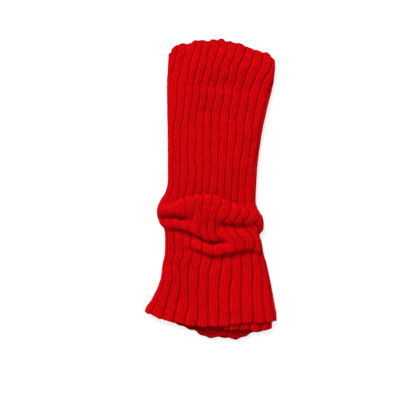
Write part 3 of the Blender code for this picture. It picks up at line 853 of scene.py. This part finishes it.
def grid_triangles(rows, columns, rising, start, outwards):
    """Two triangles for each cell of a closed tube, split along the legs of the V shapes.

    rising says of each column of cells whether its legs climb to the left.
    """
    row, column = np.meshgrid(np.arange(rows - 1), np.arange(columns), indexing="ij")
    a = start + row * columns + column
    b = start + row * columns + (column + 1) % columns
    c, d = a + columns, b + columns
    rising = rising[column]
    first = np.where(rising[..., None], np.stack([a, c, d], -1), np.stack([a, c, b], -1))
    second = np.where(rising[..., None], np.stack([a, d, b], -1), np.stack([b, c, d], -1))
    corner = np.where(
        rising[..., None, None],
        np.array([[[0, 0], [1, 0], [1, 1]], [[0, 0], [1, 1], [0, 1]]]).reshape(1, 1, 6, 2),
        np.array([[[0, 0], [1, 0], [0, 1]], [[0, 1], [1, 0], [1, 1]]]).reshape(1, 1, 6, 2))
    corner = corner + np.stack([row, column], -1)[..., None, :]
    triangles = np.concatenate([first, second], -1).reshape(-1, 3)
    corner = corner.reshape(-1, 3, 2)
    if not outwards:
        triangles, corner = triangles[:, ::-1], corner[:, ::-1]
    return triangles, corner


def ring_strip(outer, outer_at, inner, inner_at, turned):
    """Triangles between two rings with different points: each point meets the last one passed."""
    inner_seen = np.searchsorted(inner_at, outer_at, side="right") - 1
    outer_seen = np.searchsorted(outer_at, inner_at, side="left") - 1
    from_outer = np.stack([np.roll(outer, 1), outer, inner[inner_seen]], -1)
    from_inner = np.stack([inner, np.roll(inner, 1), outer[outer_seen]], -1)
    strip = np.concatenate([from_outer, from_inner])
    return strip[:, ::-1] if turned else strip


print("a strip between rings of 4 and 2 points has", len(ring_strip(
    np.arange(4), np.arange(4) / 4, np.arange(2), np.arange(2) / 2, False)), "triangles")

# %% [markdown]
# ## Into the mesh
#
# The arrays go straight into the mesh with foreach_set, which takes a fraction of a second where
# a Python loop over the points would take minutes. Each corner also keeps its place in the knit,
# counted in stitch columns and rows, as a UV map: the material will draw the yarn with it. Each
# point keeps how far its groove is stretched open. On the wrong side the columns are counted
# below -1, which tells the material that it is there.

# %% Into the mesh


def put_in_mesh(name, points, triangles, corner_values, stretch):
    """A mesh from arrays: points and their stretch, triangles, each corner's place in the knit."""
    mesh = bpy.data.meshes.new(name)
    mesh.vertices.add(len(points))
    mesh.vertices.foreach_set("co", (points * METRE).astype(np.float32).ravel())
    mesh.loops.add(3 * len(triangles))
    mesh.loops.foreach_set("vertex_index", triangles.astype(np.int32).ravel())
    mesh.polygons.add(len(triangles))
    mesh.polygons.foreach_set("loop_start", np.arange(0, 3 * len(triangles), 3, dtype=np.int32))
    mesh.update(calc_edges=True)
    knit = mesh.uv_layers.new(name="knit")
    knit.data.foreach_set("uv", corner_values.astype(np.float32).ravel())
    mesh.attributes.new("stretch", "FLOAT", "POINT").data.foreach_set(
        "value", stretch.astype(np.float32))
    mesh.shade_smooth()
    mesh.validate()
    piece = bpy.data.objects.new(name, mesh)
    bpy.context.scene.collection.objects.link(piece)
    return piece


def knit_columns(ribs_round):
    """The stitch columns of a ring of points, once more at its end, and each cell's left half."""
    wide = np.append(stitch_columns(ribs_round), RIBS * COLUMN_UNITS - 0.5)
    return wide, ((wide[:-1] + wide[1:]) / 2) % 1.0 < 0.5


print("left halves of a rib's first six cells:", knit_columns(outside_columns())[1][:6])

# %% [markdown]
# ## Both leg warmers
#
# A leg warmer is then one closed skin: the ribbed outside, the wrong side inside, and a rim at each
# hem that joins the two. A single sheet with a Solidify modifier would be less work, but its two
# sides would have the same relief, and a rib knit is plainer inside.

# %% Both leg warmers
PAIR_MIDDLE = (-0.040, 0.733)    # where the tables have the middle of the pair's box
STRIP_PLACE = 0.5                # the column and the row given to the strips at the hems


def leg_warmer(warmer, along, stitches):
    """One closed tube: ribbed outside, wrong side inside, and a rim of loops at each hem.

    The rows and columns to keep are picked first, then come the points of both sides, then the
    triangles, each with its corners' columns and rows, and last the strips at the two hems.
    """
    grid = GRIDS[warmer.name]
    shown = kept_rows(len(along), grid.dense, grid.every)
    kept = kept_rows(len(along), grid.inside_dense, grid.inside_every)
    rows = shown / POINTS_A_STITCH
    wrong_rows = kept / POINTS_A_STITCH
    outer_round = outside_columns()
    inner_round = np.concatenate([rib + np.array(grid.wrong_places) for rib in range(RIBS)])
    outside = outside_grid(
        warmer, along[shown, None], rows[:, None], stitches, outer_round[None, :])
    inside = inside_grid(
        warmer, along[kept, None], wrong_rows[:, None], stitches, inner_round[None, :])
    outer_rows, outer_count = outside.shape[:2]
    inner_rows, inner_count = inside.shape[:2]
    start = outer_rows * outer_count
    outer_wide, outer_rising = knit_columns(outer_round)
    inner_wide, inner_rising = knit_columns(inner_round)
    outer_tall = np.concatenate([[-0.5], rows, [stitches + 0.5]])
    outer_faces, corner = grid_triangles(outer_rows, outer_count, outer_rising, 0, True)
    outer_values = np.stack([outer_wide[corner[..., 1]], outer_tall[corner[..., 0]]], -1)
    inner_faces, corner = grid_triangles(inner_rows, inner_count, inner_rising, start, False)
    inner_values = np.stack([-1 - inner_wide[corner[..., 1]], wrong_rows[corner[..., 0]]], -1)
    strips, strip_values = [], []
    for outer_row, inner_row, turned in ((0, 0, False), (outer_rows - 1, inner_rows - 1, True)):
        outer = outer_row * outer_count + np.arange(outer_count)
        inner = start + inner_row * inner_count + np.arange(inner_count)
        strip = ring_strip(outer, outer_round, inner, inner_round, turned)
        strips.append(strip)
        strip_values.append(np.full(strip.shape + (2,), STRIP_PLACE))
    points = np.concatenate([outside.reshape(-1, 3), inside.reshape(-1, 3)])
    stretch = 1 - opened(points)
    points = points - np.array([*PAIR_MIDDLE, 0.0])
    triangles = np.concatenate([outer_faces, inner_faces, *strips])
    values = np.concatenate([outer_values, inner_values, *strip_values])
    return put_in_mesh(warmer.name + "_knit", points, triangles, values, stretch)


outer_knit = leg_warmer(OUTER, outer_rows, outer_stitches)
inner_knit = leg_warmer(INNER, inner_rows, inner_stitches)
for piece in (outer_knit, inner_knit):
    print(piece.name, "has", len(piece.data.polygons), "triangles")

# %% [markdown]
# ## The yarn
#
# The yarn is a matt acrylic dyed one strong red. Nearly all the light that comes back is red, so
# the shader has almost no white gloss. What shows the knit is its shadow: dark grooves, finer dark
# lines between the knit columns, and a fuzz that catches light on the ribs' edges. Its nodes are
# wired by script, and a small class keeps each formula as short as it would be on paper.

# %% Node helpers


class Wires:
    """Adds nodes to a node tree and links them: a value is either a number or another socket."""

    def __init__(self, tree):
        self.tree = tree

    def put(self, socket, value):
        if isinstance(value, bpy.types.NodeSocket):
            self.tree.links.new(value, socket)
        else:
            socket.default_value = value

    def node(self, kind, **settings):
        node = self.tree.nodes.new(kind)
        for name, value in settings.items():
            setattr(node, name, value)
        return node

    def math(self, operation, *values):
        node = self.node("ShaderNodeMath", operation=operation)
        for socket, value in zip(node.inputs, values):
            self.put(socket, value)
        return node.outputs[0]

    def mix(self, share, low, high):
        node = self.node("ShaderNodeMix", data_type="FLOAT")
        self.put(node.inputs[0], share)
        self.put(node.inputs[2], low)
        self.put(node.inputs[3], high)
        return node.outputs[0]

    def mix_colour(self, share, low, high):
        node = self.node("ShaderNodeMix", data_type="RGBA")
        self.put(node.inputs[0], share)
        self.put(node.inputs[6], low)
        self.put(node.inputs[7], high)
        return node.outputs[2]

    def noise(self, place, scale, detail):
        node = self.node("ShaderNodeTexNoise")
        self.put(node.inputs["Vector"], place)
        self.put(node.inputs["Scale"], scale)
        self.put(node.inputs["Detail"], detail)
        return node.outputs["Fac"]


def new_group(name, inputs, outputs):
    """A shader node group whose inputs and outputs are given as (name, kind of socket)."""
    group = bpy.data.node_groups.new(name, "ShaderNodeTree")
    for label, kind in inputs:
        group.interface.new_socket(label, in_out="INPUT", socket_type=kind)
    for label, kind in outputs:
        group.interface.new_socket(label, in_out="OUTPUT", socket_type=kind)
    return group, group.nodes.new("NodeGroupInput"), group.nodes.new("NodeGroupOutput")


print("node helpers:", ", ".join(name for name in vars(Wires) if not name.startswith("_")))

# %% [markdown]
# ## The stitch pattern as a node group
#
# Both warmers share one group. It reads where a place is in the knit, counted in stitch columns
# and rows, and gives masks that vary over the cloth. One of them is painted shade: it darkens the
# lines between knit columns, the gaps between rows and the purl column, where shade falls in the
# knit. An image of knit could be wrapped round the tube instead, but it would blur up close and
# would not follow the stitches of the mesh.

# %% The stitch pattern
TURN_ROUND = 2 * np.pi
STRANDS = 3.0              # strands that can be told apart in one leg of a stitch
STRAND_SLANT = 1.5         # how much further they twist from a column's middle to its edge
# The dark lines and gaps below are painted shade, put into the colour where shade falls in the knit.
VALLEY_POWER = 6.0         # how close to a column's edge its dark line keeps
PAINTED_ROW_SHADE = 0.45            # how dark the gaps between rows are
PAINTED_PURL_SHADE = 0.5            # and how much darker the purl column is
WRONG_FROM = -0.75         # columns below this are on the wrong side


def stitch_group():
    """Legs: (1 + cos(2 pi (row + across))) / 2, across = |2 frac(column) - 1|, as in the mesh."""
    group, start, end = new_group(
        "Knit stitches",
        [("Place", "NodeSocketVector")],
        [(name, "NodeSocketFloat")
         for name in ("Legs", "Painted gap shade", "Strands", "Each stitch", "Purl", "Wrong side")])
    wires = Wires(group)
    math = wires.math
    split = wires.node("ShaderNodeSeparateXYZ")
    wires.put(split.inputs[0], start.outputs["Place"])
    column, row = split.outputs[0], split.outputs[1]
    wrong = math("LESS_THAN", column, WRONG_FROM)
    across = math("ABSOLUTE", math("MULTIPLY_ADD", math("FRACT", column), 2.0, -1.0))
    place_in_rib = math("FLOORED_MODULO", column, float(COLUMN_UNITS))
    purl = math("MAXIMUM", wrong, math("GREATER_THAN", place_in_rib, float(WALES)))
    slanted = math("ADD", row, across)
    phase = math("MULTIPLY", wires.mix(purl, slanted, row), TURN_ROUND)
    legs = math("MULTIPLY_ADD", math("COSINE", phase), 0.5, 0.5)
    # Painted shade: dark lines at the columns' edges, darker gaps between rows, darker still over the
    # purl column.
    valley = math("POWER", across, VALLEY_POWER)
    row_shade = math("MULTIPLY", math("SUBTRACT", 1.0, legs), PAINTED_ROW_SHADE)
    purl_shade = math("ADD", row_shade, PAINTED_PURL_SHADE)
    painted_shade_mask = wires.mix(purl, math("MAXIMUM", valley, row_shade), purl_shade)
    twist = math("MULTIPLY_ADD", across, STRAND_SLANT, math("MULTIPLY", slanted, STRANDS))
    strands = math("MULTIPLY_ADD", math("SINE", math("MULTIPLY", twist, TURN_ROUND)), 0.5, 0.5)
    cell = wires.node("ShaderNodeCombineXYZ")
    wires.put(cell.inputs[0], math("FLOOR", column))
    wires.put(cell.inputs[1], math("FLOOR", math("ADD", slanted, 0.5)))
    each = wires.node("ShaderNodeTexWhiteNoise", noise_dimensions="2D")
    wires.put(each.inputs["Vector"], cell.outputs[0])
    for name, value in (
            ("Legs", legs), ("Painted gap shade", painted_shade_mask), ("Strands", strands),
            ("Each stitch", each.outputs["Value"]), ("Purl", purl), ("Wrong side", wrong)):
        wires.put(end.inputs[name], value)
    return group


stitches_group = stitch_group()
print("group has", len(stitches_group.nodes), "nodes")

# %% [markdown]
# ## The knit material
#
# Red yarn is never one red. Each stitch took the dye a little differently, single fibres stand
# up as fuzz, tufts make a nap, and whole patches are paler. One number gathers all of this and
# the painted shade of the gaps, about 0 in a gap and 1 on a leg, and picks a colour between a
# deep red, which is painted shade, and a bright red. A picture of yarn would repeat itself and
# blur up close, where noise doesn't. Grooves that are stretched open over a fold lose part of
# their painted shade, and the wrong side gets a little more of it.

# %% The knit material
Mottle = namedtuple("Mottle", "scale detail strength")
FUZZ = Mottle(1800.0, 3.0, 0.5)
NAP = Mottle(380.0, 2.0, 0.9)
PATCHES = Mottle(22.0, 2.0, 0.35)
STITCH_OFF = 0.3           # how far one stitch's red is off the next
# Painted shade: how much a gap darkens the yarn, and how much of that a stretched groove loses.
PAINTED_GAP_SHADE = 1.05            # how much a gap darkens the yarn
GAP_OPENED = 0.8           # and how much of that is lost where a groove is stretched
# Painted shade: the wrong side is darkened a little more.
PAINTED_WRONG_SIDE_SHADE = 0.05          # how much darker the wrong side is
ROUGH = 0.80               # roughness deep between the fibres
ROUGH_SPREAD = 0.16        # and how much rougher their tips are
BUMP_HEIGHT = 0.0007       # metres, of the fine bump on one stitch
BUMP_STRENGTH = 0.7
STRAND_HEIGHT, LEG_HEIGHT, FUZZ_HEIGHT = 0.35, 0.5, 0.55    # shares of that bump


def knit_material(name, crown, shade):
    """Matt yarn: painted shade in the gaps, crown on the legs, with each stitch and patch a little off.
    """
    material = bpy.data.materials.new(name)
    material.use_nodes = True
    tree = material.node_tree
    wires = Wires(tree)
    math = wires.math
    shader = tree.nodes["Principled BSDF"]
    place = wires.node("ShaderNodeUVMap", uv_map="knit")
    object_place = wires.node("ShaderNodeTexCoord").outputs["Object"]
    pattern = wires.node("ShaderNodeGroup", node_tree=stitches_group)
    wires.put(pattern.inputs["Place"], place.outputs["UV"])
    fuzz, nap, patches = (
        wires.noise(object_place, mottle.scale, mottle.detail) for mottle in (FUZZ, NAP, PATCHES))
    stretch = wires.node("ShaderNodeAttribute", attribute_name="stretch")
    spread = math("MULTIPLY", stretch.outputs["Fac"], pattern.outputs["Purl"])
    # Painted shade in the gaps, weaker where a stretched purl groove is opened.
    deep = math("MULTIPLY_ADD", spread, GAP_OPENED, -PAINTED_GAP_SHADE)
    shade_and_tone = math("MULTIPLY_ADD", pattern.outputs["Painted gap shade"], deep, 1.0)
    # A little more painted shade on the wrong side.
    shade_and_tone = math("MULTIPLY_ADD", pattern.outputs["Wrong side"], -PAINTED_WRONG_SIDE_SHADE, shade_and_tone)
    for off, strength in (
            (pattern.outputs["Each stitch"], STITCH_OFF), (fuzz, FUZZ.strength),
            (nap, NAP.strength), (patches, PATCHES.strength)):
        shade_and_tone = math("MULTIPLY_ADD", math("SUBTRACT", off, 0.5), strength, shade_and_tone)
    wires.put(shader.inputs["Base Color"], wires.mix_colour(shade_and_tone, shade, crown))
    wires.put(shader.inputs["Roughness"], math("MULTIPLY_ADD", fuzz, ROUGH_SPREAD, ROUGH))
    height = math("MULTIPLY_ADD", pattern.outputs["Strands"], STRAND_HEIGHT,
                  math("MULTIPLY", pattern.outputs["Legs"], LEG_HEIGHT))
    height = math("MULTIPLY_ADD", fuzz, FUZZ_HEIGHT, height)
    bump = wires.node("ShaderNodeBump")
    wires.put(bump.inputs["Height"], height)
    bump.inputs["Distance"].default_value = BUMP_HEIGHT
    bump.inputs["Strength"].default_value = BUMP_STRENGTH
    wires.put(shader.inputs["Normal"], bump.outputs["Normal"])
    for socket, value in (
            ("Diffuse Roughness", 0.6), ("Specular IOR Level", 0.015), ("Sheen Weight", 0.12),
            ("Sheen Roughness", 0.6), ("Sheen Tint", (1.0, 0.02, 0.03, 1.0))):
        shader.inputs[socket].default_value = value
    return material


# In each pair of reds the second is painted shade, used in the gaps.
OUTER_REDS = (0.60, 0.0006, 0.0030, 1.0), (0.22, 0.0003, 0.0014, 1.0)    # on a leg, in a gap
# The inner warmer's reds are the same yarn a little darker: painted shade, as it lies under the outer
# one.
INNER_SHADED_REDS = (0.56, 0.0006, 0.0030, 1.0), (0.20, 0.0003, 0.0014, 1.0)
for piece, name, reds in (
        (outer_knit, "outer_red_rib", OUTER_REDS), (inner_knit, "inner_shaded_red_rib", INNER_SHADED_REDS)):
    piece.data.materials.append(knit_material(name, *reds))
print("nodes in each material:", len(outer_knit.active_material.node_tree.nodes))

# %% [markdown]
# ## Tie the pieces to the model
#
# Both warmers lie still as one body, so both ride on its root. Each takes the place of the plain
# solid that it was worked out with, which stays behind for collisions.

# %% Tie the pieces to the model
for piece, warmer, slot in (
        (outer_knit, OUTER, "outer_knit"), (inner_knit, INNER, "inner_knit")):
    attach(piece, "root")
    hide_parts(warmer.name)
print("on the root:", outer_knit.name, "and", inner_knit.name)

# %% [markdown]
# ## Floor, light and camera
#
# The pair lies on a plain white table top. To come out as white as the paper round a catalogue
# picture, the floor glows a little by itself, and its pale grey still takes the soft shadow.

# %% Floor
FLOOR_HALF = 3.0
FLOOR_GREY = 0.32
FLOOR_GLOW = 0.68
floor_mesh = bpy.data.meshes.new("table_top")
floor_mesh.from_pydata(
    [(-FLOOR_HALF, -FLOOR_HALF, 0), (FLOOR_HALF, -FLOOR_HALF, 0),
     (FLOOR_HALF, FLOOR_HALF, 0), (-FLOOR_HALF, FLOOR_HALF, 0)], [], [(0, 1, 2, 3)])
floor = bpy.data.objects.new("table_top", floor_mesh)
bpy.context.scene.collection.objects.link(floor)
white = bpy.data.materials.new("white_table")
white.use_nodes = True
white_shader = white.node_tree.nodes["Principled BSDF"]
white_shader.inputs["Base Color"].default_value = (FLOOR_GREY, FLOOR_GREY, FLOOR_GREY, 1.0)
white_shader.inputs["Roughness"].default_value = 0.9
white_shader.inputs["Emission Color"].default_value = (1.0, 1.0, 1.0, 1.0)
white_shader.inputs["Emission Strength"].default_value = FLOOR_GLOW
floor_mesh.materials.append(white)
print("floor", 2 * FLOOR_HALF, "m wide")

# %% [markdown]
# Relief shows only where light comes from a side. One round lamp above the upper left of the
# picture gives the folds and grooves their shade, and a bright sky all round keeps it soft, as
# white studio walls would.

# %% Light
SKY = 0.76                 # soft light from all round
LAMP_WATTS = 94.0
LAMP_TILT, LAMP_TURN = np.radians(46), np.radians(208)
LAMP_AWAY = 2.6
LAMP_SIZE = 1.3
world = bpy.data.worlds.new("soft_room")
bpy.context.scene.world = world
world.use_nodes = True
world.node_tree.nodes["Background"].inputs["Color"].default_value = (1.0, 1.0, 1.0, 1.0)
world.node_tree.nodes["Background"].inputs["Strength"].default_value = SKY

lamp_data = bpy.data.lights.new("lamp", "AREA")
lamp_data.shape = "DISK"
lamp_data.size = LAMP_SIZE
lamp_data.energy = LAMP_WATTS
lamp = bpy.data.objects.new("lamp", lamp_data)
lamp.rotation_euler = (LAMP_TILT, 0.0, LAMP_TURN)
lamp.location = LAMP_AWAY * np.array([
    np.sin(LAMP_TILT) * np.sin(LAMP_TURN), -np.sin(LAMP_TILT) * np.cos(LAMP_TURN),
    np.cos(LAMP_TILT)])
bpy.context.scene.collection.objects.link(lamp)
print("lamp at, m:", [round(v, 2) for v in lamp.location])

# %% [markdown]
# The camera looks straight down from far enough away that the two ends of the pair are not drawn
# larger or smaller than its middle. The plain view transform keeps the strong red as it is, where
# a filmic one would fade it.

# %% Camera
VIEW_MIDDLE = (-0.01232, -0.01223, 0.010)
VIEW_WIDTH = 0.46
VIEW_DISTANCE = 1.5
SENSOR = 36.0
camera_data = bpy.data.cameras.new("camera")
camera_data.sensor_width = SENSOR
camera_data.lens = SENSOR * VIEW_DISTANCE / VIEW_WIDTH
camera = bpy.data.objects.new("camera", camera_data)
camera.location = (VIEW_MIDDLE[0], VIEW_MIDDLE[1], VIEW_MIDDLE[2] + VIEW_DISTANCE)
bpy.context.scene.collection.objects.link(camera)
bpy.context.scene.camera = camera
bpy.context.scene.view_settings.view_transform = "Standard"
print("lens, mm:", round(camera_data.lens, 1))

# %% [markdown]
# ## Size
#
# Loops and small waves may stand a few millimetres proud at the hems.
